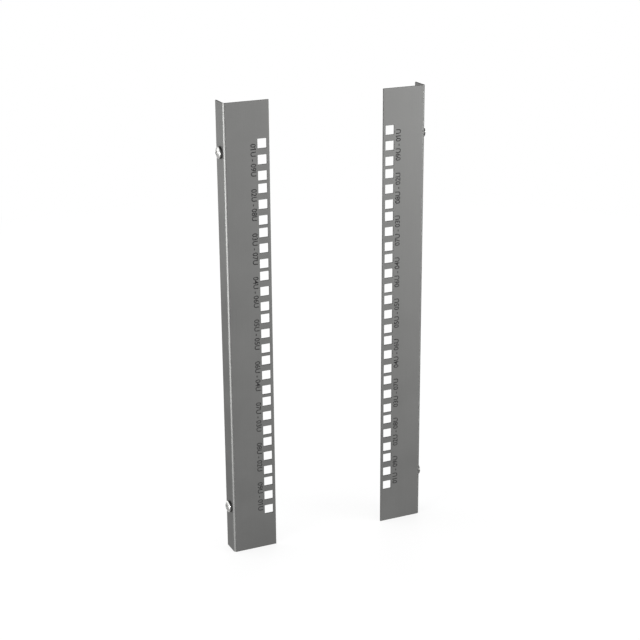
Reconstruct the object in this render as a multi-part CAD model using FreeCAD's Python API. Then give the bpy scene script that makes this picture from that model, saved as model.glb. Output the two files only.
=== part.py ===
"""Pair of folded steel mounting rails for a rack, with the screws that fix them to a cabinet.

Each rail is one strip of sheet steel, folded once into an L. Its front carries a column of square
holes in the rack standard's repeating pattern, and its side flange carries two screws. Both rails
are the same pressing: the right one is the left one turned upside down.

Units are millimetres. +X runs from the left rail to the right rail, +Y from front to back, +Z up.
The origin is midway between the rails, at half their depth, level with their lower ends.
"""
import math
import os

import FreeCAD
import Part

Vector = FreeCAD.Vector

# Rack pattern
UNIT_COUNT = 9              # rack units along the rail
UNIT_HEIGHT = 44.45         # one rack unit
HOLE_STEP = 15.875          # from a unit's middle hole to its upper and lower ones
HOLE_SIDE = 9.5             # square hole that takes a cage nut
HOLE_FROM_EDGE = 7.55       # hole centre to the rail's free edge

# Folded sheet
SHEET = 1.5                 # steel thickness
BEND_INSIDE_RADIUS = 1.0
FRONT_WIDTH = 47.0          # outer flange face to free edge
FLANGE_DEPTH = 20.0         # front face to the flange's back edge
END_MARGIN = 35.6           # plain sheet beyond the first and last rack unit
PAIR_GAP = 122.5            # between the two free edges

# Fixing screws
SCREW_FROM_END = 49.0       # screw axis to the nearer end of the rail
SCREW_FROM_FRONT = 9.5      # screw axis to the front face
THREAD_DIAMETER = 6.0
SCREW_LENGTH = 16.0         # under the head
SCREW_TIP_CHAMFER = 0.6
HEAD_DIAMETER = 12.0
HEAD_HEIGHT = 4.6
HEAD_DOME_RADIUS = 10.0
HEAD_EDGE_RADIUS = 0.5      # rounding between the head's side and its dome
RECESS_DIAMETER = 6.8       # tip to tip across the cross recess
RECESS_DEPTH = 3.2
RECESS_WING = 1.3           # width of one wing
RECESS_FLOOR = 2.6          # tip to tip at the bottom
RECESS_TURN = 45.0          # degrees from upright at which the driver left the cross

# Washers and nut
WASHER_DIAMETER = 12.0
WASHER_THICKNESS = 1.6
WASHER_EDGE_RADIUS = 0.25
SPRING_WASHER_DIAMETER = 11.8
SPRING_WASHER_THICKNESS = 1.6
SPRING_WASHER_SLIT = 0.8    # width of the cut
SPRING_WASHER_SKEW = 25.0   # degrees that the cut leans
NUT_ACROSS_FLATS = 10.0
NUT_HEIGHT = 5.0
NUT_CHAMFER_ANGLE = 30.0    # degrees
NUT_COUNTERSINK = 0.4       # depth of the lead-in at each end of the thread

# Radial clearances around the thread
FLANGE_HOLE_CLEARANCE = 0.3
WASHER_CLEARANCE = 0.2
SPRING_WASHER_CLEARANCE = 0.1
NUT_CLEARANCE = 0.05

# Sizes that follow from the ones above
RAIL_LENGTH = UNIT_COUNT * UNIT_HEIGHT + 2 * END_MARGIN
BEND_OUTSIDE_RADIUS = BEND_INSIDE_RADIUS + SHEET
THREAD_RADIUS = THREAD_DIAMETER / 2
WASHER_SEAT = SHEET
SPRING_WASHER_SEAT = WASHER_SEAT + WASHER_THICKNESS
NUT_SEAT = SPRING_WASHER_SEAT + SPRING_WASHER_THICKNESS
SCREW_HEIGHTS = {"lower": SCREW_FROM_END, "upper": RAIL_LENGTH - SCREW_FROM_END}
TURNED_OVER = {"lower": "upper", "upper": "lower"}

ALONG = Vector(1, 0, 0)     # the way that a left-hand screw points
PAST = 1.0                  # how far a cutting tool runs past the face it cuts


def line(start, end):
    return Part.LineSegment(start, end).toShape()


def arc_about(centre, radius, start_degrees, end_degrees):
    """An arc in the XY plane, from one angle to another."""
    angles = (start_degrees, (start_degrees + end_degrees) / 2, end_degrees)
    points = [
        centre + Vector(math.cos(math.radians(a)), math.sin(math.radians(a)), 0) * radius
        for a in angles
    ]
    return Part.Arc(*points).toShape()


def tube(inner_radius, outer_radius, start, length):
    """A ring about the screw axis."""
    outer = Part.makeCylinder(outer_radius, length, ALONG * start, ALONG)
    inner = Part.makeCylinder(inner_radius, length + 2 * PAST, ALONG * (start - PAST), ALONG)
    return outer.cut(inner)


def revolved(points):
    """Turn a half section of (along, radius) points about the screw axis."""
    corners = [Vector(along, radius, 0) for along, radius in points]
    section = Part.Face(Part.makePolygon(corners + corners[:1]))
    return section.revolve(Vector(0, 0, 0), ALONG, 360)


def folded_strip():
    """The L section, with its rounded fold, drawn out to the rail's length."""
    centre = Vector(BEND_OUTSIDE_RADIUS, BEND_OUTSIDE_RADIUS, 0)
    front_fold = Vector(BEND_OUTSIDE_RADIUS, 0, 0)
    front_edge = Vector(FRONT_WIDTH, 0, 0)
    rear_edge = Vector(FRONT_WIDTH, SHEET, 0)
    rear_fold = Vector(BEND_OUTSIDE_RADIUS, SHEET, 0)
    inner_fold = Vector(SHEET, BEND_OUTSIDE_RADIUS, 0)
    inner_end = Vector(SHEET, FLANGE_DEPTH, 0)
    outer_end = Vector(0, FLANGE_DEPTH, 0)
    outer_fold = Vector(0, BEND_OUTSIDE_RADIUS, 0)
    outline = Part.Wire([
        line(front_fold, front_edge),
        line(front_edge, rear_edge),
        line(rear_edge, rear_fold),
        arc_about(centre, BEND_INSIDE_RADIUS, 270, 180),
        line(inner_fold, inner_end),
        line(inner_end, outer_end),
        line(outer_end, outer_fold),
        arc_about(centre, BEND_OUTSIDE_RADIUS, 180, 270),
    ])
    return Part.Face(outline).extrude(Vector(0, 0, RAIL_LENGTH))


def hole_heights():
    """Centre heights of the square holes: three in every rack unit."""
    heights = []
    for unit in range(UNIT_COUNT):
        middle = END_MARGIN + (unit + 0.5) * UNIT_HEIGHT
        heights += [middle - HOLE_STEP, middle, middle + HOLE_STEP]
    return heights


def rail():
    """One rail: outer flange face at x = 0, front face at y = 0, lower end at z = 0."""
    punches = []
    for height in hole_heights():
        corner = Vector(FRONT_WIDTH - HOLE_FROM_EDGE - HOLE_SIDE / 2, -PAST, height - HOLE_SIDE / 2)
        punches.append(Part.makeBox(HOLE_SIDE, SHEET + 2 * PAST, HOLE_SIDE, corner))
    for height in SCREW_HEIGHTS.values():
        start = Vector(-PAST, SCREW_FROM_FRONT, height)
        radius = THREAD_RADIUS + FLANGE_HOLE_CLEARANCE
        punches.append(Part.makeCylinder(radius, SHEET + 2 * PAST, start, ALONG))
    return folded_strip().cut(punches)


def cross_recess():
    """The tapered cross that a driver fits, sunk from the top of the head."""
    floor = -HEAD_HEIGHT + RECESS_DEPTH
    taper = (RECESS_DIAMETER - RECESS_FLOOR) / 2 / RECESS_DEPTH
    mouth_radius = RECESS_DIAMETER / 2 + taper * PAST
    cone = Part.makeCone(mouth_radius, RECESS_FLOOR / 2, RECESS_DEPTH + PAST,
                         ALONG * (-HEAD_HEIGHT - PAST), ALONG)
    reach = 2 * mouth_radius
    depth = RECESS_DEPTH + PAST
    upright = Part.makeBox(depth, RECESS_WING, reach, Vector(floor - depth, -RECESS_WING / 2, -reach / 2))
    level = Part.makeBox(depth, reach, RECESS_WING, Vector(floor - depth, -reach / 2, -RECESS_WING / 2))
    return cone.common(upright.fuse(level)).rotated(Vector(0, 0, 0), ALONG, RECESS_TURN)


def screw():
    """Domed pan-head screw: head seat at x = 0, thread towards +X."""
    head_radius = HEAD_DIAMETER / 2
    half_angle = math.degrees(math.asin(head_radius / HEAD_DOME_RADIUS))
    dome_centre = Vector(HEAD_DOME_RADIUS - HEAD_HEIGHT, 0, 0)
    dome = arc_about(dome_centre, HEAD_DOME_RADIUS, 180, 180 - half_angle)
    crown = Vector(-HEAD_HEIGHT, 0, 0)
    rim = dome.valueAt(dome.LastParameter)
    corners = [
        rim,
        Vector(0, head_radius, 0),
        Vector(0, THREAD_RADIUS, 0),
        Vector(SCREW_LENGTH - SCREW_TIP_CHAMFER, THREAD_RADIUS, 0),
        Vector(SCREW_LENGTH, THREAD_RADIUS - SCREW_TIP_CHAMFER, 0),
        Vector(SCREW_LENGTH, 0, 0),
        crown,
    ]
    outline = Part.Wire([dome] + [line(a, b) for a, b in zip(corners, corners[1:])])
    body = Part.Face(outline).revolve(Vector(0, 0, 0), ALONG, 360)
    at_rim = [
        edge for edge in body.Edges
        if edge.Closed and abs(edge.CenterOfMass.x - rim.x) < 0.01
    ]
    return body.makeFillet(HEAD_EDGE_RADIUS, at_rim).cut(cross_recess())


def plain_washer():
    ring = tube(THREAD_RADIUS + WASHER_CLEARANCE, WASHER_DIAMETER / 2, WASHER_SEAT, WASHER_THICKNESS)
    outer_edges = [
        edge for edge in ring.Edges
        if edge.Closed and abs(edge.Curve.Radius - WASHER_DIAMETER / 2) < 0.01
    ]
    return ring.makeFillet(WASHER_EDGE_RADIUS, outer_edges)


def spring_washer():
    """Split lock washer, drawn flat as it is when the nut is tight, with its leaning cut at the top."""
    outer_radius = SPRING_WASHER_DIAMETER / 2
    ring = tube(THREAD_RADIUS + SPRING_WASHER_CLEARANCE, outer_radius,
                SPRING_WASHER_SEAT, SPRING_WASHER_THICKNESS)
    middle = ALONG * (SPRING_WASHER_SEAT + SPRING_WASHER_THICKNESS / 2)
    reach = SPRING_WASHER_THICKNESS + 2 * PAST
    corner = middle + Vector(-reach / 2, -SPRING_WASHER_SLIT / 2, 0)
    cut = Part.makeBox(reach, SPRING_WASHER_SLIT, outer_radius + PAST, corner)
    return ring.cut(cut.rotated(middle, Vector(0, 0, 1), SPRING_WASHER_SKEW))


def hex_nut():
    """Hexagon nut with chamfered corners and a countersunk thread at both ends."""
    corner_radius = NUT_ACROSS_FLATS / math.sqrt(3)
    hexagon = [
        Vector(NUT_SEAT, corner_radius * math.cos(math.radians(a)), corner_radius * math.sin(math.radians(a)))
        for a in range(0, 360, 60)
    ]
    prism = Part.Face(Part.makePolygon(hexagon + hexagon[:1])).extrude(ALONG * NUT_HEIGHT)
    flat_radius = NUT_ACROSS_FLATS / 2
    drop = (corner_radius - flat_radius) * math.tan(math.radians(NUT_CHAMFER_ANGLE))
    top = NUT_SEAT + NUT_HEIGHT
    turned = revolved([
        (NUT_SEAT, 0), (NUT_SEAT, flat_radius), (NUT_SEAT + drop, corner_radius),
        (top - drop, corner_radius), (top, flat_radius), (top, 0),
    ])
    bore = THREAD_RADIUS + NUT_CLEARANCE
    mouth = bore + NUT_COUNTERSINK
    hole = revolved([
        (NUT_SEAT - PAST, 0), (NUT_SEAT - PAST, mouth), (NUT_SEAT, mouth),
        (NUT_SEAT + NUT_COUNTERSINK, bore), (top - NUT_COUNTERSINK, bore),
        (top, mouth), (top + PAST, mouth), (top + PAST, 0),
    ])
    return prism.common(turned).cut(hole)


def left_hand_pieces():
    """Every piece of the left rail's set, named for its place, in the pair's own frame."""
    pieces = {"rail": rail()}
    fastener = {
        "screw": screw(),
        "washer": plain_washer(),
        "spring_washer": spring_washer(),
        "nut": hex_nut(),
    }
    for place, height in SCREW_HEIGHTS.items():
        axis_point = Vector(0, SCREW_FROM_FRONT, height)
        for kind, shape in fastener.items():
            pieces[place + "_" + kind] = shape.translated(axis_point)
    corner = Vector(-PAIR_GAP / 2 - FRONT_WIDTH, -FLANGE_DEPTH / 2, 0)
    return {name: shape.translated(corner) for name, shape in pieces.items()}


def turned_over(name, shape):
    """The same piece in the right rail's set: half a turn about the pair's front-to-back axis."""
    place, _, kind = name.partition("_")
    new_name = TURNED_OVER[place] + "_" + kind if place in TURNED_OVER else name
    centre = Vector(0, 0, RAIL_LENGTH / 2)
    return new_name, shape.rotated(centre, Vector(0, 1, 0), 180)


def main():
    os.makedirs("parts", exist_ok=True)
    for name, shape in left_hand_pieces().items():
        shape.exportStep("parts/left_" + name + ".step")
        other_name, other = turned_over(name, shape)
        other.exportStep("parts/right_" + other_name + ".step")


main()
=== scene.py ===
# %% [markdown]
# # A pair of folded rack rails
#
# The object is two steel rails for a small wall rack. Each is one strip of sheet metal with a column of
# square holes, folded once into an L, and two pan-head screws hold its side flange to a cabinet. The
# construction comes packed, at its real size, and this lesson gives it its looks: every piece is modelled
# again with softened edges, real threads and printed unit numbers, and gets a finish made of nodes.

# %% Load the fixed frame
import math

import bmesh
import bpy
from mathutils import Matrix, Vector


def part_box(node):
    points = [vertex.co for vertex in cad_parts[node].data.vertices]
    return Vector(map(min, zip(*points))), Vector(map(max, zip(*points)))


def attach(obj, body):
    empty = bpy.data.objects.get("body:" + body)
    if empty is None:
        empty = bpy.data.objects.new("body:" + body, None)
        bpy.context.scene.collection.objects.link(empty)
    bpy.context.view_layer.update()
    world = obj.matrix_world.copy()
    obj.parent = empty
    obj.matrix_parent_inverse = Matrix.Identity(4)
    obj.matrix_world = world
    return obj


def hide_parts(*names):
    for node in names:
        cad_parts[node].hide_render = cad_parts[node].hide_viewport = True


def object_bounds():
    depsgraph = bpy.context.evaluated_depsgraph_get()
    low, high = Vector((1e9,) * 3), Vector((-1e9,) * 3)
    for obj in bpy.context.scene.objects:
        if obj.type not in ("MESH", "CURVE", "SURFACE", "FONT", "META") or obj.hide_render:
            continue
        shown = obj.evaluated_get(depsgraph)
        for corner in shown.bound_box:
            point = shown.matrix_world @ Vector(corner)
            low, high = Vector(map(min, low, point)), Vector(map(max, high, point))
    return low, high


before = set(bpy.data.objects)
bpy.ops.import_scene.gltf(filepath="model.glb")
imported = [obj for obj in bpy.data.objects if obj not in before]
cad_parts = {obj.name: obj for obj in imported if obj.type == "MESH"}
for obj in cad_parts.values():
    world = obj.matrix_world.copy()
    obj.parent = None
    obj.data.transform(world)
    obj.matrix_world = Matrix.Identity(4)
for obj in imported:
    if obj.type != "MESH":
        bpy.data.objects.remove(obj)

MM = 0.001
cad_low, cad_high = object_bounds()


def in_mm(lengths):
    return [round(length / MM, 2) for length in lengths]


print("packed box:", in_mm(cad_high - cad_low), "mm")

# %% [markdown]
# ## The camera
#
# The rails are seen from the left and a little above, through a long lens, so their upright edges stay
# nearly parallel. A camera can be turned by hand until the picture looks right, but then nobody can say
# why it stands where it does. Here its place is worked out from a few plain facts: the point it aims at,
# the direction and distance it looks from, and its slight tilt.

# %% Aim the camera
AIM = Vector((-7.0, -5.4, 239.3)) * MM
AZIMUTH = math.radians(-24.40)
ELEVATION = math.radians(18.98)
TILT = math.radians(-0.39)
CAMERA_DISTANCE = 1559.4 * MM
SENSOR_WIDTH = 36.0                     # millimetres, as a camera's settings count them
FOCAL_LENGTH = 86.13

towards_camera = Vector((
    math.sin(AZIMUTH) * math.cos(ELEVATION),
    -math.cos(AZIMUTH) * math.cos(ELEVATION),
    math.sin(ELEVATION),
))
level = Vector((0, 0, 1)).cross(towards_camera).normalized()
upright = towards_camera.cross(level)
camera_right = level * math.cos(TILT) + upright * math.sin(TILT)
camera_up = upright * math.cos(TILT) - level * math.sin(TILT)

bpy.ops.object.select_all(action="DESELECT")
bpy.ops.object.camera_add()
camera = bpy.context.object
camera.name = "camera"
camera.data.sensor_width = SENSOR_WIDTH
camera.data.lens = FOCAL_LENGTH
turned_to_aim = Matrix((camera_right, camera_up, towards_camera)).transposed().to_4x4()
camera.matrix_world = Matrix.Translation(AIM + towards_camera * CAMERA_DISTANCE) @ turned_to_aim
bpy.context.scene.camera = camera
print("camera at", in_mm(camera.location), "mm")

# %% [markdown]
# ## Helpers for node trees
#
# A material, a world and a node group are all node trees. Nodes can be wired by hand in the shader
# editor, and the same wiring in code needs two small helpers: one that empties a tree, and one that adds
# a node, sets its options, and gives each input either a value or a wire from another node.

# %% Node helpers
def empty_tree(owner):
    owner.use_nodes = True
    owner.node_tree.nodes.clear()
    return owner.node_tree


def add_node(tree, kind, inputs=None, **options):
    """Adds a node with options. An input, by name or number, takes a value or another node's socket."""
    node = tree.nodes.new(kind)
    for name, value in options.items():
        setattr(node, name, value)
    for name, value in (inputs or {}).items():
        if isinstance(value, bpy.types.NodeSocket):
            tree.links.new(value, node.inputs[name])
        else:
            node.inputs[name].default_value = value
    return node


print("node helpers ready")

# %% [markdown]
# ## The studio
#
# The rails stand on a plain pale floor that runs out to white. Making a floor white with strong lamps
# would burn out the metal, so the world and the floor are white by themselves wherever they are looked
# at, also in reflections, and the lamps only add shape. Near the rails a part of the floor stays an
# ordinary lit surface, which keeps the soft shadow at their feet, and further out that part fades away.

# %% World and floor
bpy.context.scene.view_settings.view_transform = "Standard"
WHITE = (1, 1, 1, 1)
FLOOR_SIZE = 40.0
FLOOR_PALE = (0.76, 0.76, 0.76, 1)
FLOOR_OWN_WHITE = 0.8
FADE_START, FADE_END = 0.6, 1.4   # metres from the middle


def seen_directly(tree):
    """1 for the camera's own look, straight, reflected or through glass, and 0 for lighting."""
    path = add_node(tree, "ShaderNodeLightPath")
    seen = path.outputs["Is Camera Ray"]
    for other in ("Is Glossy Ray", "Is Transmission Ray"):
        larger = add_node(tree, "ShaderNodeMath", {0: seen, 1: path.outputs[other]}, operation="MAXIMUM")
        seen = larger.outputs["Value"]
    return seen


world = bpy.data.worlds.new("studio")
bpy.context.scene.world = world
tree = empty_tree(world)
backdrop = add_node(tree, "ShaderNodeBackground", {"Color": WHITE, "Strength": 1.0})
add_node(tree, "ShaderNodeOutputWorld", {"Surface": backdrop.outputs[0]})

floor_white = bpy.data.materials.new("pale_floor")
tree = empty_tree(floor_white)
lit = add_node(tree, "ShaderNodeBsdfDiffuse", {"Color": FLOOR_PALE})
white = add_node(tree, "ShaderNodeEmission", {"Color": WHITE, "Strength": 1.0})
spot = add_node(tree, "ShaderNodeTexCoord").outputs["Object"]
from_middle = add_node(tree, "ShaderNodeVectorMath", {0: spot}, operation="LENGTH")
own_white = add_node(tree, "ShaderNodeMapRange", {
    "Value": from_middle.outputs["Value"], "From Min": FADE_START, "From Max": FADE_END,
    "To Min": FLOOR_OWN_WHITE, "To Max": 1.0})
share = add_node(tree, "ShaderNodeMath", {
    0: seen_directly(tree), 1: own_white.outputs["Result"]}, operation="MULTIPLY")
mix = add_node(tree, "ShaderNodeMixShader", {0: share.outputs[0], 1: lit.outputs[0], 2: white.outputs[0]})
add_node(tree, "ShaderNodeOutputMaterial", {"Surface": mix.outputs[0]})

bpy.ops.object.select_all(action="DESELECT")
bpy.ops.mesh.primitive_plane_add(size=FLOOR_SIZE, location=(0, 0, cad_low.z))
floor = bpy.context.object
floor.name = "studio_floor"
floor.data.materials.append(floor_white)
print("floor", FLOOR_SIZE, "m across, at height", round(floor.location.z / MM, 2), "mm")

# %% [markdown]
# ## The lamps
#
# Satin metal shows what stands around it. A softbox low on the left draws the bright line down the left
# rail's fold, and two more, one in front on the right and one behind on the left, are caught more by the
# rails' upper halves than by their lower ones, which gives the faces their slow fade. A fourth, higher on
# the left, puts the glint on the screw heads, and a fifth, behind on the right, lights the rails' backs.
# One strong lamp overhead would be simpler, but upright faces hardly see it.

# %% Softboxes
LAMP_TARGET = Vector((0, 0, (cad_low.z + cad_high.z) / 2))
SOFTBOXES = {
    # name: (degrees from the front round to the left, metres away, metres up, width and height, watts)
    "fold_softbox": (72, 1.6, 0.10, (0.9, 0.18), 58),
    "front_softbox": (-50, 2.4, 0.30, (1.2, 0.5), 57),
    "flange_softbox": (156, 1.2, 0.15, (0.6, 0.25), 2.3),
    "head_softbox": (120, 1.6, 0.75, (1.2, 1.2), 9),
    "back_softbox": (-150, 2.4, 0.30, (1.2, 0.5), 50),
}


def softbox(name, round_from_front, away, up, size, watts):
    angle = math.radians(round_from_front)
    place = Vector((-math.sin(angle) * away, -math.cos(angle) * away, up))
    bpy.ops.object.light_add(type="AREA", location=place)
    lamp = bpy.context.object
    lamp.name = name
    lamp.rotation_euler = (LAMP_TARGET - place).to_track_quat("-Z", "Y").to_euler()
    lamp.data.shape = "RECTANGLE"
    lamp.data.size, lamp.data.size_y = size
    lamp.data.energy = watts
    lamp.visible_camera = False


bpy.ops.object.select_all(action="DESELECT")
for name, settings in SOFTBOXES.items():
    softbox(name, *settings)
print("lamps:", ", ".join(SOFTBOXES))

# %% [markdown]
# ## Grain of rolled sheet
#
# Sheet steel is rolled, so its surface carries faint streaks that run along the strip, over slow cloudy
# patches left by the plating bath. A picture of such sheet could be wrapped on, but a pattern made of
# nodes has no seams and stays sharp close up. The streaks are one noise stretched along Z, the clouds are
# another, and both come out as numbers from 0 to 1. Two finishes use them, so they are a node group.

# %% Node group: rolled grain
def new_group(name, inputs, outputs):
    """An empty group with number sockets. Returns the group, its input node and its output node."""
    group = bpy.data.node_groups.new(name, "ShaderNodeTree")
    group.interface.new_socket(name="Vector", in_out="INPUT", socket_type="NodeSocketVector")
    for socket in inputs:
        group.interface.new_socket(name=socket, in_out="INPUT", socket_type="NodeSocketFloat")
    for socket in outputs:
        group.interface.new_socket(name=socket, in_out="OUTPUT", socket_type="NodeSocketFloat")
    return group, add_node(group, "NodeGroupInput"), add_node(group, "NodeGroupOutput")


def grain_group():
    group, given, result = new_group("rolled_grain", ("Across", "Along", "Clouds"), ("Streak", "Cloud"))
    stretch = add_node(group, "ShaderNodeCombineXYZ", {
        "X": given.outputs["Across"], "Y": given.outputs["Across"], "Z": given.outputs["Along"]})
    stretched = add_node(group, "ShaderNodeVectorMath", {
        0: given.outputs["Vector"], 1: stretch.outputs[0]}, operation="MULTIPLY")
    streaks = add_node(group, "ShaderNodeTexNoise", {
        "Vector": stretched.outputs[0], "Scale": 1.0, "Detail": 5.0, "Roughness": 0.6})
    clouds = add_node(group, "ShaderNodeTexNoise", {
        "Vector": given.outputs["Vector"], "Scale": given.outputs["Clouds"],
        "Detail": 4.0, "Roughness": 0.55})
    group.links.new(streaks.outputs[0], result.inputs["Streak"])
    group.links.new(clouds.outputs[0], result.inputs["Cloud"])
    return group


ROLLED_GRAIN = grain_group()
print("group", ROLLED_GRAIN.name, "with", len(ROLLED_GRAIN.nodes), "nodes")

# %% [markdown]
# ## From pattern to finish
#
# A pattern is only a number at each point. These helpers turn it into what a shader needs: a colour
# between two tones, a roughness between two limits, or a blend of two patterns. Every pattern is laid out
# by the piece's own Object coordinates, so it stays on the metal when the piece moves.

# %% Pattern helpers
NOISE_LOW, NOISE_HIGH = 0.3, 0.7        # most of a noise lies between these


def object_place(tree):
    return add_node(tree, "ShaderNodeTexCoord").outputs["Object"]


def between_tones(tree, pattern, dark, light, low, high):
    """The dark tone where the pattern is low, the light one where it is high, and a fade between."""
    ramp = add_node(tree, "ShaderNodeValToRGB", {"Fac": pattern})
    first, last = ramp.color_ramp.elements
    first.position, first.color = low, dark
    last.position, last.color = high, light
    return ramp.outputs["Color"]


def between_limits(tree, pattern, lowest, highest):
    scaled = add_node(tree, "ShaderNodeMapRange", {
        "Value": pattern, "From Min": NOISE_LOW, "From Max": NOISE_HIGH,
        "To Min": lowest, "To Max": highest})
    return scaled.outputs["Result"]


def blend(tree, first, second, share):
    """`share` of the second pattern and the rest of the first."""
    mixed = add_node(tree, "ShaderNodeMix", {0: share, 2: first, 3: second}, data_type="FLOAT")
    return mixed.outputs[0]


def finish_surface(tree, settings):
    surface = add_node(tree, "ShaderNodeBsdfPrincipled", settings)
    add_node(tree, "ShaderNodeOutputMaterial", {"Surface": surface.outputs[0]})


print("pattern helpers ready")

# %% [markdown]
# ## Finish of the rails
#
# The rails are plated steel with a satin, mid-grey shine. The shader is a plain metal. Its tone drifts a
# few percent with the streaks and clouds, its roughness drifts with the clouds, and a very low bump
# follows the streaks, so that a highlight breaks up along the strip as it does on real sheet. A grey
# specular tint keeps the flange, which is seen at a slant, from paling as bright metals do.

# %% Material: satin plated sheet
SHEET_DARK = (0.106, 0.106, 0.104, 1)
SHEET_LIGHT = (0.118, 0.118, 0.116, 1)
SHEET_FADE = (0.36, 0.64)               # pattern values at which the tone starts and ends its change
SHEET_ROUGHNESS = (0.52, 0.58)
SHEET_SLANT_TINT = (0.45, 0.45, 0.45, 1)
STREAKS_ACROSS = 2000                   # streaks in a metre
STREAKS_ALONG = 14
CLOUDS = 22
CLOUD_SHARE = 0.6                       # of the tone's drift; the streaks make the rest
STREAK_BUMP = 0.25
STREAK_DEPTH = 0.02 * MM


def sheet_finish():
    material = bpy.data.materials.new("satin_plated_sheet")
    tree = empty_tree(material)
    grain = add_node(tree, "ShaderNodeGroup", {
        "Vector": object_place(tree), "Across": STREAKS_ACROSS, "Along": STREAKS_ALONG, "Clouds": CLOUDS,
    }, node_tree=ROLLED_GRAIN)
    streak, cloud = grain.outputs["Streak"], grain.outputs["Cloud"]
    drift = blend(tree, streak, cloud, CLOUD_SHARE)
    bump = add_node(tree, "ShaderNodeBump", {
        "Strength": STREAK_BUMP, "Distance": STREAK_DEPTH, "Height": streak})
    finish_surface(tree, {
        "Base Color": between_tones(tree, drift, SHEET_DARK, SHEET_LIGHT, *SHEET_FADE),
        "Metallic": 1.0,
        "Roughness": between_limits(tree, cloud, *SHEET_ROUGHNESS),
        "Specular Tint": SHEET_SLANT_TINT,
        "Normal": bump.outputs[0],
    })
    return material


SHEET_FINISH = sheet_finish()
print("material", SHEET_FINISH.name, "with", len(SHEET_FINISH.node_tree.nodes), "nodes")

# %% [markdown]
# ## Finish of the cut edges
#
# Where sheet is sheared or punched, the tool tears the steel, so a cut is rougher and darker than the
# rolled face, with a coarse mottle. It uses the same grain group, but with equal scales both ways,
# because a torn edge has no rolling direction.

# %% Material: sheared edge
EDGE_DARK = (0.055, 0.055, 0.054, 1)
EDGE_LIGHT = (0.085, 0.085, 0.083, 1)
EDGE_FADE = (0.35, 0.65)
EDGE_ROUGHNESS = (0.58, 0.74)
TEARS = 1800                            # in a metre
TEAR_CLOUDS = 400
TEAR_CLOUD_SHARE = 0.5


def edge_finish():
    material = bpy.data.materials.new("sheared_edge")
    tree = empty_tree(material)
    grain = add_node(tree, "ShaderNodeGroup", {
        "Vector": object_place(tree), "Across": TEARS, "Along": TEARS, "Clouds": TEAR_CLOUDS,
    }, node_tree=ROLLED_GRAIN)
    tear, cloud = grain.outputs["Streak"], grain.outputs["Cloud"]
    drift = blend(tree, tear, cloud, TEAR_CLOUD_SHARE)
    finish_surface(tree, {
        "Base Color": between_tones(tree, drift, EDGE_DARK, EDGE_LIGHT, *EDGE_FADE),
        "Metallic": 1.0,
        "Roughness": between_limits(tree, tear, *EDGE_ROUGHNESS),
        "Specular Tint": SHEET_SLANT_TINT,
    })
    return material


EDGE_FINISH = edge_finish()
print("material", EDGE_FINISH.name)

# %% [markdown]
# ## Mottle of small fasteners
#
# Screws, nuts and washers are plated in a tumbling barrel, which leaves a soft mottle and fine scuffs all
# over them. Each fastener metal shows both, so they are a second node group: one noise for the mottle and
# a finer one for the scuffs.

# %% Node group: barrel plating
MOTTLE_SCALE = 260
SCUFF_SCALE = 1500


def plating_group():
    group, given, result = new_group("barrel_plating", ("Mottles", "Scuffs"), ("Mottle", "Scuff"))
    for pattern, scale, detail in (("Mottle", "Mottles", 3.0), ("Scuff", "Scuffs", 4.0)):
        noise = add_node(group, "ShaderNodeTexNoise", {
            "Vector": given.outputs["Vector"], "Scale": given.outputs[scale], "Detail": detail})
        group.links.new(noise.outputs[0], result.inputs[pattern])
    return group


BARREL_PLATING = plating_group()
print("group", BARREL_PLATING.name, "with", len(BARREL_PLATING.nodes), "nodes")

# %% [markdown]
# ## Finish of the fasteners
#
# The screws are dull nickel on their crowns and threads. The turned side of the head gets a dark metal that
# is painted shade:
# it stands in for the shade that falls there. Nuts and plain washers are zinc-plated, and split washers are
# spring steel with a dark skin. They differ only in tone and shine, so one function makes all four metals
# from a short table.

# %% Materials: fastener metals
FASTENER_METALS = {
    # name: (dark tone, light tone, lowest roughness, highest roughness)
    "dull_nickel": ((0.31, 0.31, 0.304, 1), (0.39, 0.39, 0.382, 1), 0.25, 0.31),
    # painted shade: a dark metal that stands in for the shade on the screw head's turned side
    "dark_turned_side": ((0.055, 0.055, 0.054, 1), (0.085, 0.084, 0.083, 1), 0.25, 0.38),
    "zinc_plate": ((0.40, 0.41, 0.42, 1), (0.50, 0.51, 0.52, 1), 0.28, 0.42),
    "spring_steel": ((0.12, 0.12, 0.12, 1), (0.19, 0.186, 0.182, 1), 0.30, 0.45),
}
METAL_FADE = (0.38, 0.62)
SCUFF_BUMP = 0.15
SCUFF_DEPTH = 0.01 * MM


def fastener_metal(name, dark, light, lowest, highest):
    material = bpy.data.materials.new(name)
    tree = empty_tree(material)
    plating = add_node(tree, "ShaderNodeGroup", {
        "Vector": object_place(tree), "Mottles": MOTTLE_SCALE, "Scuffs": SCUFF_SCALE,
    }, node_tree=BARREL_PLATING)
    scuff = plating.outputs["Scuff"]
    bump = add_node(tree, "ShaderNodeBump", {
        "Strength": SCUFF_BUMP, "Distance": SCUFF_DEPTH, "Height": scuff})
    finish_surface(tree, {
        "Base Color": between_tones(tree, plating.outputs["Mottle"], dark, light, *METAL_FADE),
        "Metallic": 1.0,
        "Roughness": between_limits(tree, scuff, lowest, highest),
        "Normal": bump.outputs[0],
    })
    return material


METALS = {name: fastener_metal(name, *tones) for name, tones in FASTENER_METALS.items()}
print("metals:", ", ".join(METALS))

# %% [markdown]
# ## Ink of the unit numbers
#
# The unit numbers are printed in black. Ink isn't metal: it is a thin matt film, slightly uneven, so a
# noise varies its tone and its gloss a little from letter to letter. Its specular level is low, because
# matt black would otherwise turn grey in a white room.

# %% Material: printed ink
INK_DARK = (0.006, 0.006, 0.006, 1)
INK_LIGHT = (0.014, 0.014, 0.014, 1)
INK_FADE = (0.35, 0.65)
INK_ROUGHNESS = (0.5, 0.65)
INK_GLOSS = 0.15
INK_PATCHES = 420


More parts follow.
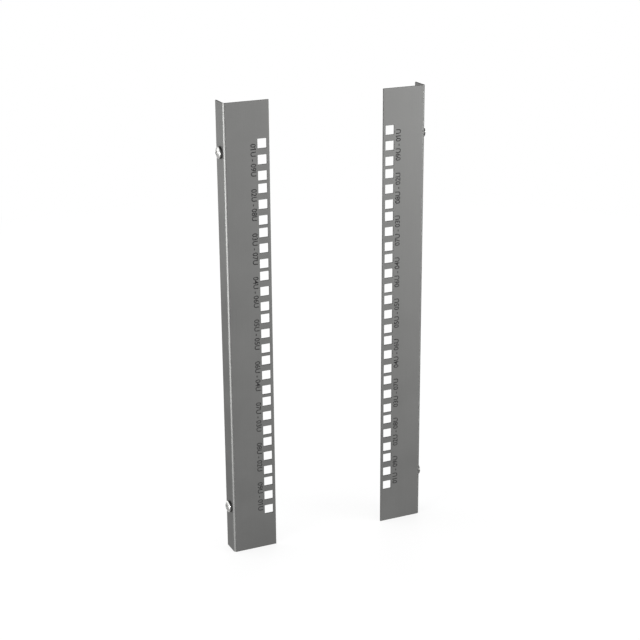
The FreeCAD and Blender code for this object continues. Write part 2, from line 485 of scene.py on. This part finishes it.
def ink_finish():
    material = bpy.data.materials.new("printed_ink")
    tree = empty_tree(material)
    film = add_node(tree, "ShaderNodeTexNoise", {
        "Vector": object_place(tree), "Scale": INK_PATCHES, "Detail": 4.0}).outputs[0]
    finish_surface(tree, {
        "Base Color": between_tones(tree, film, INK_DARK, INK_LIGHT, *INK_FADE),
        "Metallic": 0.0,
        "Roughness": between_limits(tree, film, *INK_ROUGHNESS),
        "Specular IOR Level": INK_GLOSS,
    })
    return material


INK = ink_finish()
print("material", INK.name)

# %% [markdown]
# ## Helpers for modelling
#
# Operators act on whatever is selected, so each step starts from a clear selection. By hand, faces are
# picked with the mouse. In code they are picked by a plain test on their place or direction, and these
# helpers do that, open and close a piece for editing, clean a mesh, and apply a modifier.

# %% Modelling helpers
MERGE_DISTANCE = 0.001 * MM
FACING = 0.99                           # a normal with this much along an axis faces that way
SELECT_MODES = {"faces": "FACE", "edges": "EDGE", "verts": "VERT"}


def make_active(piece):
    bpy.ops.object.select_all(action="DESELECT")
    piece.select_set(True)
    bpy.context.view_layer.objects.active = piece


def edit(piece):
    make_active(piece)
    bpy.ops.object.mode_set(mode="EDIT")
    bpy.ops.mesh.select_all(action="DESELECT")


def stop_editing():
    bpy.ops.object.mode_set(mode="OBJECT")


def select_where(piece, kind, test):
    """Selects the faces, edges or verts of the piece that pass the test, and returns how many did."""
    bpy.ops.mesh.select_mode(type=SELECT_MODES[kind])
    bpy.ops.mesh.select_all(action="DESELECT")
    mesh = bmesh.from_edit_mesh(piece.data)
    chosen = [element for element in getattr(mesh, kind) if test(element)]
    for element in chosen:
        element.select_set(True)
    bmesh.update_edit_mesh(piece.data)
    return len(chosen)


def clean_mesh():
    """Merges doubled points and turns every face outwards, in edit mode."""
    bpy.ops.mesh.select_all(action="SELECT")
    bpy.ops.mesh.remove_doubles(threshold=MERGE_DISTANCE)
    bpy.ops.mesh.normals_make_consistent(inside=False)


def apply_modifier(piece, kind, **settings):
    make_active(piece)
    modifier = piece.modifiers.new(kind.lower(), kind)
    for name, value in settings.items():
        setattr(modifier, name, value)
    bpy.ops.object.modifier_apply(modifier=modifier.name)


def soften_edges(piece, width, sharper_than, **settings):
    """A narrow bevel on every edge that is sharper than so many degrees."""
    apply_modifier(piece, "BEVEL", width=width, segments=2, limit_method="ANGLE",
                   angle_limit=math.radians(sharper_than), use_clamp_overlap=False, **settings)


def combine(piece, tool, operation):
    """Cuts the tool's shape out of the piece, or keeps only what they share, and removes the tool."""
    apply_modifier(piece, "BOOLEAN", operation=operation, object=tool, solver="EXACT")
    bpy.data.objects.remove(tool)


def shade_smooth(piece, up_to):
    make_active(piece)
    bpy.ops.object.shade_smooth_by_angle(angle=math.radians(up_to))


print("modelling helpers ready")

# %% [markdown]
# ## The rail, first as a flat strip
#
# A real rail starts as a flat blank that is punched and then folded, and the model goes the same way. The
# holes could be cut with booleans, but 27 of them leave a ragged mesh. Instead the front is one plane,
# bisect cuts it along both sides of the hole column and above and below every hole, and the small squares
# that this leaves are deleted: three in each rack unit.

# %% Punch the strip
UNIT_COUNT = 9
UNIT_HEIGHT = 44.45 * MM
HOLE_STEP = 15.875 * MM
HOLE_SIDE = 9.5 * MM
HOLE_FROM_EDGE = 7.55 * MM
FOLD_RADIUS = 2.5 * MM                  # outside of the fold

rail_low, rail_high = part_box("left_rail")
fold_line = rail_low.x + FOLD_RADIUS
column = rail_high.x - HOLE_FROM_EDGE
middle_height = (rail_low.z + rail_high.z) / 2
unit_middles = [middle_height + (unit - (UNIT_COUNT - 1) / 2) * UNIT_HEIGHT for unit in range(UNIT_COUNT)]
hole_heights = [middle + step for middle in unit_middles for step in (-HOLE_STEP, 0, HOLE_STEP)]


def bisect_all(point, normal):
    bpy.ops.mesh.select_all(action="SELECT")
    bpy.ops.mesh.bisect(plane_co=point, plane_no=normal)


def in_a_hole(face):
    centre = face.calc_center_median()
    beside = abs(centre.x - column) < HOLE_SIDE / 2
    return beside and any(abs(centre.z - height) < HOLE_SIDE / 2 for height in hole_heights)


bpy.ops.object.select_all(action="DESELECT")
bpy.ops.mesh.primitive_plane_add(
    size=1, rotation=(math.pi / 2, 0, 0),
    location=((fold_line + rail_high.x) / 2, rail_low.y, middle_height))
left_rail = bpy.context.object
left_rail.name = "left_folded_rail"
left_rail.scale = (rail_high.x - fold_line, rail_high.z - rail_low.z, 1)
bpy.ops.object.transform_apply(location=True, rotation=True, scale=True)
edit(left_rail)
for side in (-1, 1):
    bisect_all((column + side * HOLE_SIDE / 2, 0, 0), (1, 0, 0))
    for height in hole_heights:
        bisect_all((0, 0, height + side * HOLE_SIDE / 2), (0, 0, 1))
punched = select_where(left_rail, "faces", in_a_hole)
bpy.ops.mesh.delete(type="FACE")
stop_editing()
print("punched", punched, "holes in", left_rail.name)

# %% [markdown]
# ## The fold
#
# On a press brake the sheet bends round a small radius and never breaks into a sharp corner. The edge at
# the fold line is spun a quarter turn about the centre of the bend, which gives true tangent faces, and
# is then extruded to the flange's depth. The front has to face forwards, because the thickness will grow
# behind it.

# %% Fold the strip
FOLD_STEPS = 12
flange_run = rail_high.y - (rail_low.y + FOLD_RADIUS)


def on_fold_line(edge):
    return all(abs(vertex.co.x - fold_line) < MERGE_DISTANCE for vertex in edge.verts)


edit(left_rail)
select_where(left_rail, "edges", on_fold_line)
bpy.ops.mesh.spin(steps=FOLD_STEPS, angle=math.pi / 2, axis=(0, 0, 1),
                  center=(fold_line, rail_low.y + FOLD_RADIUS, 0))
bpy.ops.mesh.extrude_region_move(TRANSFORM_OT_translate={"value": (0, flange_run, 0)})
clean_mesh()
if select_where(left_rail, "faces", lambda face: face.normal.y > FACING):
    bpy.ops.mesh.select_all(action="SELECT")
    bpy.ops.mesh.flip_normals()
stop_editing()
print("folded to", in_mm(left_rail.dimensions), "mm")

# %% [markdown]
# ## Thickness and edges
#
# The sheet is 1.5 mm thick. Solidify grows it inwards from the outer faces and gives the cut faces their
# own finish, and a fine bevel takes the sharpness off every cut: a knife-sharp edge never catches the
# light, and no deburred rail has one.

# %% Give the sheet its thickness
SHEET = 1.5 * MM
DEBURRING = 0.15 * MM

left_rail.data.materials.append(SHEET_FINISH)
left_rail.data.materials.append(EDGE_FINISH)
apply_modifier(left_rail, "SOLIDIFY", thickness=SHEET, offset=-1, use_even_offset=True,
               material_offset_rim=1)
soften_edges(left_rail, DEBURRING, sharper_than=60, material=1)
print("rail has", len(left_rail.data.polygons), "faces")

# %% [markdown]
# ## Screw holes in the flange
#
# Each flange has two round clearance holes for its screws. A round hole in a flat mesh needs a ring of
# new points anyway, so here a boolean is the plain way: a cylinder of the hole's size, pushed through the
# flange where the screw's axis runs, is cut away. Weighted normals then keep the wide faces flat up to
# their bevels.

# %% Drill the flange
THREAD_RADIUS = 3.0 * MM
HOLE_CLEARANCE = 0.3 * MM
DRILL_SIDES = 48
DRILL_LENGTH = 8 * MM
PLACES = ("lower", "upper")


def screw_axis(place):
    """The point on a left-hand screw's axis where its head sits on the flange."""
    low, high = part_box(f"left_{place}_screw")
    return Vector((rail_low.x, (low.y + high.y) / 2, (low.z + high.z) / 2))


for place in PLACES:
    bpy.ops.object.select_all(action="DESELECT")
    bpy.ops.mesh.primitive_cylinder_add(
        vertices=DRILL_SIDES, radius=THREAD_RADIUS + HOLE_CLEARANCE, depth=DRILL_LENGTH,
        location=screw_axis(place), rotation=(0, math.pi / 2, 0))
    combine(left_rail, bpy.context.object, "DIFFERENCE")
shade_smooth(left_rail, up_to=40)
apply_modifier(left_rail, "WEIGHTED_NORMAL", keep_sharp=True)
print("drilled", len(PLACES), "holes;", len(left_rail.data.polygons), "faces")

# %% [markdown]
# ## Unit numbers
#
# Beside the holes, each rack unit carries its number counted from both ends, such as "02U - 08U", so that
# the rail can be fitted either way up. The text is typed as a text object and made a mesh. Blender's own
# letters draw a 1 as a plain bar, so its flag is added as a sign painter would: the top of the bar's left
# side is cut off by bisect and drawn out to the left and down.

# %% Type a label
LETTER_SIZE = 7.72 * MM
LETTER_SPACING = 0.98
CAP_HEIGHT = 0.682 * LETTER_SIZE        # as Blender's own letters are drawn
BOLDER = 0.110 * MM                     # added all round every stroke
LETTER_CURVE_STEPS = 4
INK_FILM = 0.03 * MM
FLAG_WIDTH = 1.05 * MM
FLAG_REACH = 1.35 * MM
FLAG_DROP = 0.95 * MM
FLAG_CUT = CAP_HEIGHT + BOLDER - FLAG_WIDTH
NEARLY_ALL = 0.9                        # share of a full length that counts as a whole side


def left_side(above, longer_than):
    """A test for a straight left side of a letter, by where it starts and how long it is."""
    def test(face):
        heights = [vertex.co.y for vertex in face.verts]
        long_enough = max(heights) - min(heights) > longer_than
        return face.normal.x < -FACING and min(heights) > above and long_enough
    return test


def typed_label(number):
    bpy.ops.object.select_all(action="DESELECT")
    bpy.ops.object.text_add()
    text = bpy.context.object.data
    text.body = f"{number:02d}U - {UNIT_COUNT + 1 - number:02d}U"
    text.size = LETTER_SIZE
    text.space_character = LETTER_SPACING
    text.offset = BOLDER
    text.align_x = "CENTER"
    text.extrude = INK_FILM / 2
    text.resolution_u = LETTER_CURVE_STEPS
    bpy.ops.object.convert(target="MESH")
    label = bpy.context.object
    edit(label)
    clean_mesh()
    if select_where(label, "faces", left_side(-2 * BOLDER, NEARLY_ALL * CAP_HEIGHT)):
        bpy.ops.mesh.bisect(plane_co=(0, FLAG_CUT, 0), plane_no=(0, 1, 0))
        select_where(label, "faces", left_side(FLAG_CUT - MERGE_DISTANCE, NEARLY_ALL * FLAG_WIDTH))
        bpy.ops.mesh.extrude_region_move(TRANSFORM_OT_translate={"value": (-FLAG_REACH, -FLAG_DROP, 0)})
    stop_editing()
    return label


labels = {number: typed_label(number) for number in range(1, UNIT_COUNT + 1)}
print("label 1 measures", in_mm(labels[1].dimensions), "mm")

# %% [markdown]
# ## The print on the rail
#
# The labels are read from the top down, with the tops of their letters towards the holes, and each is
# centred on its unit's middle hole. A turn lays the flat text on the front face, half its film in the
# steel and half out, so there is no gap for light. All nine are joined into one piece, as they are one
# print.

# %% Print the unit numbers
LETTER_BASE = 12.05 * MM                # baseline to the middle of the hole column
READ_DOWNWARDS = Matrix(((0, 1, 0), (0, 0, -1), (-1, 0, 0))).to_4x4()

bpy.ops.object.select_all(action="DESELECT")
for number, label in labels.items():
    place = Vector((column - LETTER_BASE, rail_low.y, unit_middles[UNIT_COUNT - number]))
    label.data.transform(Matrix.Translation(place) @ READ_DOWNWARDS)
    label.select_set(True)
left_numbers = labels[1]
bpy.context.view_layer.objects.active = left_numbers
bpy.ops.object.join()
left_numbers.name = "left_unit_numbers"
left_numbers.data.materials.clear()
left_numbers.data.materials.append(INK)
edit(left_numbers)
clean_mesh()
bpy.ops.mesh.dissolve_degenerate(threshold=MERGE_DISTANCE)
stop_editing()
print(left_numbers.name, in_mm(left_numbers.dimensions), "mm;", len(left_numbers.data.polygons), "faces")

# %% [markdown]
# ## Turned pieces
#
# Screws and washers are round about one axis. Their half outline is drawn by extruding a single point
# from corner to corner, and spinning that line once round the axis makes the piece, as a lathe does.
# Outlines are pairs of distances: along the axis from the flange's outer face, inwards, and out from the
# axis.

# %% Lathe helper
AXIS = screw_axis("lower")


def spun(name, outline, steps, turn=2 * math.pi, closed=False):
    """A piece turned about the left rail's lower screw axis."""
    points = [AXIS + Vector((along, 0, radius)) for along, radius in outline]
    if closed:
        points.append(points[0])
    bpy.ops.object.select_all(action="DESELECT")
    bpy.ops.mesh.primitive_plane_add(size=MM)
    piece = bpy.context.object
    piece.name = name
    edit(piece)
    bpy.ops.mesh.select_mode(type="VERT")
    bpy.ops.mesh.select_all(action="SELECT")
    bpy.ops.mesh.merge(type="CENTER")
    bpy.ops.transform.translate(value=points[0])
    for start, end in zip(points, points[1:]):
        bpy.ops.mesh.extrude_region_move(TRANSFORM_OT_translate={"value": end - start})
    bpy.ops.mesh.select_all(action="SELECT")
    bpy.ops.mesh.remove_doubles(threshold=MERGE_DISTANCE)
    bpy.ops.mesh.spin(steps=steps, angle=turn, center=AXIS, axis=(1, 0, 0))
    clean_mesh()
    stop_editing()
    return piece


print("lathe set on the axis at", in_mm(AXIS), "mm")

# %% [markdown]
# ## The pan-head screw
#
# The head is a low cylinder under a shallow dome, and the shank below it is round until its thread is
# cut. The dome's outline is an arc, worked out from its radius, and the shank's outline has eight points
# in each turn of thread, ready for the next step.

# %% Turn the screw
DOME_RADIUS = 10 * MM
DOME_STEPS = 10
THREAD_PITCH = 1.0 * MM
RINGS_PER_TURN = 8
SCREW_STEPS = 64

screw_low, screw_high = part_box("left_lower_screw")
head_radius = (screw_high.y - screw_low.y) / 2
head_height = rail_low.x - screw_low.x
screw_length = screw_high.x - rail_low.x
dome_angle = math.asin(head_radius / DOME_RADIUS)
dome_centre = DOME_RADIUS - head_height
outline = []
for step in range(DOME_STEPS + 1):
    angle = dome_angle * step / DOME_STEPS
    outline.append((dome_centre - DOME_RADIUS * math.cos(angle), DOME_RADIUS * math.sin(angle)))
rim_along = outline[-1][0]
outline += [(0, head_radius), (0, THREAD_RADIUS)]
ring_count = round(screw_length / THREAD_PITCH * RINGS_PER_TURN)
outline += [(screw_length * ring / ring_count, THREAD_RADIUS) for ring in range(1, ring_count + 1)]
outline.append((screw_length, 0))
screw = spun("left_lower_pan_screw", outline, SCREW_STEPS)
print(screw.name, in_mm(screw.dimensions), "mm")

# %% [markdown]
# ## The thread
#
# A thread is a groove that winds round the shank as a helix. It could be a swept profile cut by a
# boolean, but that is slow and often leaves holes. Here every ring of points is pushed in or out by where
# it stands on the helix, so crest, flank and root wind round the shank as one closed surface, and the tip
# gets its chamfer.

# %% Cut the thread
THREAD_DEPTH = 0.61 * MM
CREST_SHARE = 0.125                     # of the pitch, as is the root's
ROOT_SHARE = 0.25
RUN_OUT = 1.2 * MM                      # where the thread fades under the head
TIP_CHAMFER = 0.6 * MM


def thread_height(along, angle):
    """0 at the root and 1 at the crest of a right-hand thread."""
    turn = (along / THREAD_PITCH - angle / (2 * math.pi)) % 1
    from_crest = abs(turn - 0.5) * 2
    flank = (1 - ROOT_SHARE - from_crest) / (1 - ROOT_SHARE - CREST_SHARE)
    return min(1, max(0, flank))


for vertex in screw.data.vertices:
    along = vertex.co.x - AXIS.x
    out = Vector((0, vertex.co.y - AXIS.y, vertex.co.z - AXIS.z))
    if along > MERGE_DISTANCE and out.length > MERGE_DISTANCE:
        fade = min(1, along / RUN_OUT)
        depth = THREAD_DEPTH * fade * (1 - thread_height(along, math.atan2(out.z, out.y)))
        tip_limit = THREAD_RADIUS - max(0, along - (screw_length - TIP_CHAMFER))
        radius = min(THREAD_RADIUS - depth, tip_limit)
        vertex.co = Vector((vertex.co.x, AXIS.y, AXIS.z)) + out.normalized() * radius
screw.data.update()
print("thread of", round(screw_length / THREAD_PITCH), "turns")

# %% [markdown]
# ## The head's rim and recess
#
# The rim between side and dome is rounded, as a cold-formed head is, with a bevel on that one ring of
# edges. The cross recess for the driver is two tapered blades, each a cube whose inner end is narrowed,
# cut out of the crown one after the other.

# %% Round the rim and cut the cross
RIM_ROUNDING = 0.5 * MM
RIM_STEPS = 4
RECESS_MOUTH = 6.8 * MM
RECESS_FLOOR = 2.6 * MM
RECESS_DEPTH = 3.2 * MM
RECESS_WING = 1.3 * MM
RECESS_TURN = math.radians(45)          # from upright, as the driver left it
RECESS_PAST = 1.0 * MM                  # how far a blade runs out past the crown


def on_rim(edge):
    return all(abs(vertex.co.x - AXIS.x - rim_along) < MERGE_DISTANCE for vertex in edge.verts)


def recess_blade(quarter_turns):
    """A tapered blade from the recess floor out past the crown, for one bar of the cross."""
    length = RECESS_DEPTH + RECESS_PAST
    mouth = RECESS_FLOOR + (RECESS_MOUTH - RECESS_FLOOR) / RECESS_DEPTH * length
    floor_along = RECESS_DEPTH - head_height
    bpy.ops.object.select_all(action="DESELECT")
    bpy.ops.mesh.primitive_cube_add(size=1)
    blade = bpy.context.object
    blade.scale = (length, RECESS_WING, mouth)
    bpy.ops.object.transform_apply(location=True, rotation=True, scale=True)
    edit(blade)
    select_where(blade, "faces", lambda face: face.normal.x > FACING)
    bpy.ops.transform.resize(value=(1, 1, RECESS_FLOOR / mouth))
    stop_editing()
    turned = Matrix.Rotation(RECESS_TURN + quarter_turns * math.pi / 2, 4, "X")
    blade.data.transform(Matrix.Translation(AXIS + Vector((floor_along - length / 2, 0, 0))) @ turned)
    return blade


edit(screw)
rim_edges = select_where(screw, "edges", on_rim)
bpy.ops.mesh.bevel(offset=RIM_ROUNDING, segments=RIM_STEPS, affect="EDGES")
stop_editing()
for quarter_turns in (0, 1):
    combine(screw, recess_blade(quarter_turns), "DIFFERENCE")
print("rounded", rim_edges, "rim edges;", len(screw.data.polygons), "faces")

# %% [markdown]
# ## The screw's nickel and painted shade
#
# The dome and the thread keep their nickel. The turned side below the rim gets a dark metal, which is
# painted shade: it stands in for the shade that falls on that side beside the fold. A painted mask could
# blend the two, but here the shade is made to end at the rim, so the side's faces are picked by their place
# and given their own metal.

# %% Give the screw its metals
side_start = rim_along + RIM_ROUNDING / 2


def on_turned_side(face):
    centre = face.calc_center_median() - AXIS
    beside_shank = math.hypot(centre.y, centre.z) > head_radius - RIM_ROUNDING
    return beside_shank and side_start < centre.x < -MERGE_DISTANCE


def give_metal(piece, metal, test):
    piece.data.materials.append(METALS[metal])
    edit(piece)
    count = select_where(piece, "faces", test)
    piece.active_material_index = len(piece.data.materials) - 1
    bpy.ops.object.material_slot_assign()
    stop_editing()
    print(count, "faces of", metal)


give_metal(screw, "dull_nickel", lambda face: True)
# painted shade: the turned side of the head takes a dark metal in place of the shade that falls there
give_metal(screw, "dark_turned_side", on_turned_side)
shade_smooth(screw, up_to=35)

# %% [markdown]
# ## The plain washer
#
# A plain washer spreads the load of the nut on the flange. It is stamped from sheet, so its outer corners
# are rolled off. One outline with those corners is spun all the way round, and a fine bevel softens what
# is left.

# %% Plain washer
WASHER_CLEARANCE = 0.2 * MM
WASHER_ROLL_OFF = 0.25 * MM
WASHER_SOFTENING = 0.06 * MM
WASHER_STEPS = 64


def ring_section(node):
    """Where a packed washer starts and ends along the axis, and its outer radius."""
    low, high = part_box(node)
    return low.x - AXIS.x, high.x - AXIS.x, (high.y - low.y) / 2


start, end, outer = ring_section("left_lower_washer")
inner = THREAD_RADIUS + WASHER_CLEARANCE
washer = spun("left_lower_flat_washer", [
    (start, inner), (start, outer - WASHER_ROLL_OFF), (start + WASHER_ROLL_OFF, outer),
    (end - WASHER_ROLL_OFF, outer), (end, outer - WASHER_ROLL_OFF), (end, inner),
], WASHER_STEPS, closed=True)
soften_edges(washer, WASHER_SOFTENING, sharper_than=30)
washer.data.materials.append(METALS["zinc_plate"])
shade_smooth(washer, up_to=40)
print(washer.name, in_mm(washer.dimensions), "mm")

# %% [markdown]
# ## The split washer
#
# A split washer is a square bar of spring steel wound once round the screw and cut at a slant, and here
# it is pressed flat by its nut. Its section is spun short of a full turn, every point is turned about the
# axis by how far along it stands, which makes the cut lean, and the two open ends are filled.

# %% Split washer
SPLIT_CLEARANCE = 0.1 * MM
SPLIT_GAP = 0.8 * MM
SPLIT_LEAN = math.radians(25)
SPLIT_SOFTENING = 0.12 * MM
SPLIT_STEPS = 60

start, end, outer = ring_section("left_lower_spring_washer")
inner = THREAD_RADIUS + SPLIT_CLEARANCE
middle_radius = (inner + outer) / 2
gap_angle = 2 * math.asin(SPLIT_GAP / 2 / math.cos(SPLIT_LEAN) / middle_radius)
split_washer = spun(
    "left_lower_split_washer", [(start, inner), (start, outer), (end, outer), (end, inner)],
    SPLIT_STEPS, turn=2 * math.pi - gap_angle, closed=True)
for vertex in split_washer.data.vertices:
    from_middle = vertex.co.x - AXIS.x - (start + end) / 2
    lean = from_middle * math.tan(SPLIT_LEAN) / middle_radius
    vertex.co = AXIS + Matrix.Rotation(gap_angle / 2 + lean, 3, "X") @ (vertex.co - AXIS)
edit(split_washer)
select_where(split_washer, "edges", lambda edge: edge.is_boundary)
bpy.ops.mesh.edge_face_add()
clean_mesh()
stop_editing()
soften_edges(split_washer, SPLIT_SOFTENING, sharper_than=50)
split_washer.data.materials.append(METALS["spring_steel"])
shade_smooth(split_washer, up_to=40)
print(split_washer.name, in_mm(split_washer.dimensions), "mm")

# %% [markdown]
# ## The hexagon nut
#
# A nut is hexagon bar whose corners are turned off at both ends, which leaves a curved line on each flat.
# A bevel can't draw that curve, so the nut is made as in the workshop: a six-sided cylinder keeps only
# what it shares with the turned shape, and then the hole with its countersinks is cut through.

# %% Hexagon nut
NUT_CLEARANCE = 0.05 * MM
NUT_COUNTERSINK = 0.4 * MM
NUT_CHAMFER = math.radians(30)
NUT_FACE_SHARE = 0.97                   # the bearing face's radius, as a share of the flats'
NUT_STEPS = 96
NUT_PAST = 1.0 * MM                     # how far the bar and the drill run past the nut's ends

nut_low, nut_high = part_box("left_lower_nut")
start, end = nut_low.x - AXIS.x, nut_high.x - AXIS.x
corner_radius = (nut_high.y - nut_low.y) / 2
face_radius = (nut_high.z - nut_low.z) / 2 * NUT_FACE_SHARE
clear_radius = corner_radius + NUT_PAST
chamfer_drop = (clear_radius - face_radius) * math.tan(NUT_CHAMFER)
bore = THREAD_RADIUS + NUT_CLEARANCE
mouth = bore + NUT_COUNTERSINK

bpy.ops.object.select_all(action="DESELECT")
bpy.ops.mesh.primitive_cylinder_add(
    vertices=6, radius=corner_radius, depth=end - start + 2 * NUT_PAST,
    location=AXIS + Vector(((start + end) / 2, 0, 0)), rotation=(0, math.pi / 2, 0))
nut = bpy.context.object
nut.name = "left_lower_hex_nut"
bpy.ops.object.transform_apply(location=True, rotation=True, scale=True)
combine(nut, spun("nut_turning", [
    (start, 0), (start, face_radius), (start + chamfer_drop, clear_radius),
    (end - chamfer_drop, clear_radius), (end, face_radius), (end, 0),
], NUT_STEPS), "INTERSECT")
combine(nut, spun("nut_drill", [
    (start - NUT_PAST, 0), (start - NUT_PAST, mouth), (start, mouth), (start + NUT_COUNTERSINK, bore),
    (end - NUT_COUNTERSINK, bore), (end, mouth), (end + NUT_PAST, mouth), (end + NUT_PAST, 0),
], NUT_STEPS), "DIFFERENCE")
nut.data.materials.clear()
nut.data.materials.append(METALS["zinc_plate"])
shade_smooth(nut, up_to=25)
print(nut.name, in_mm(nut.dimensions), "mm;", len(nut.data.polygons), "faces")

# %% [markdown]
# ## Copies
#
# The upper fasteners are the lower ones moved up the rail, and the right-hand set is the left-hand set
# turned upside down, as the two real rails are one pressing. A linked copy would share one mesh and stand
# somewhere else. Here each copy has a mesh of its own with the move already in its points, so every
# object stays at the origin.

# %% Copy the pieces to their places
UP_THE_RAIL = Matrix.Translation(screw_axis("upper") - AXIS)
PIVOT = Matrix.Translation((0, 0, middle_height))
TURNED_OVER = PIVOT @ Matrix.Rotation(math.pi, 4, "Y") @ PIVOT.inverted()
OTHER_END = {"lower": "upper", "upper": "lower"}


def copy_of(piece, name, move):
    twin = piece.copy()
    twin.data = piece.data.copy()
    twin.name = name
    twin.data.transform(move)
    bpy.context.collection.objects.link(twin)
    return twin


pieces = {left_rail.name: left_rail, left_numbers.name: left_numbers}
for piece in (screw, washer, split_washer, nut):
    upper_name = piece.name.replace("lower", "upper")
    pieces[piece.name] = piece
    pieces[upper_name] = copy_of(piece, upper_name, UP_THE_RAIL)
for name, piece in list(pieces.items()):
    _, place, kind = name.split("_", 2)
    twin_name = f"right_{OTHER_END.get(place, place)}_{kind}"
    pieces[twin_name] = copy_of(piece, twin_name, TURNED_OVER)
print(len(pieces), "pieces:", ", ".join(sorted(pieces)))

# %% [markdown]
# ## Riding on the bodies
#
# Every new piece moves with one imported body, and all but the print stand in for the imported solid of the
# same part. The print and the washers against the flange stay with the rail, each screw turns by itself,
# and the nut takes its split washer along.

# %% Ride and replace
def stand_in(name, body, node):
    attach(pieces[name], body)
    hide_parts(node)


for side in ("left", "right"):
    rail = f"{side}_rail"
    stand_in(f"{side}_folded_rail", rail, rail)
    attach(pieces[f"{side}_unit_numbers"], rail)
    for place in PLACES:
        spot = f"{side}_{place}"
        stand_in(f"{spot}_pan_screw", f"{spot}_screw", f"{spot}_screw")
        stand_in(f"{spot}_flat_washer", rail, f"{spot}_washer")
        stand_in(f"{spot}_split_washer", f"{spot}_nut", f"{spot}_spring_washer")
        stand_in(f"{spot}_hex_nut", f"{spot}_nut", f"{spot}_nut")
print("every piece rides on a body")
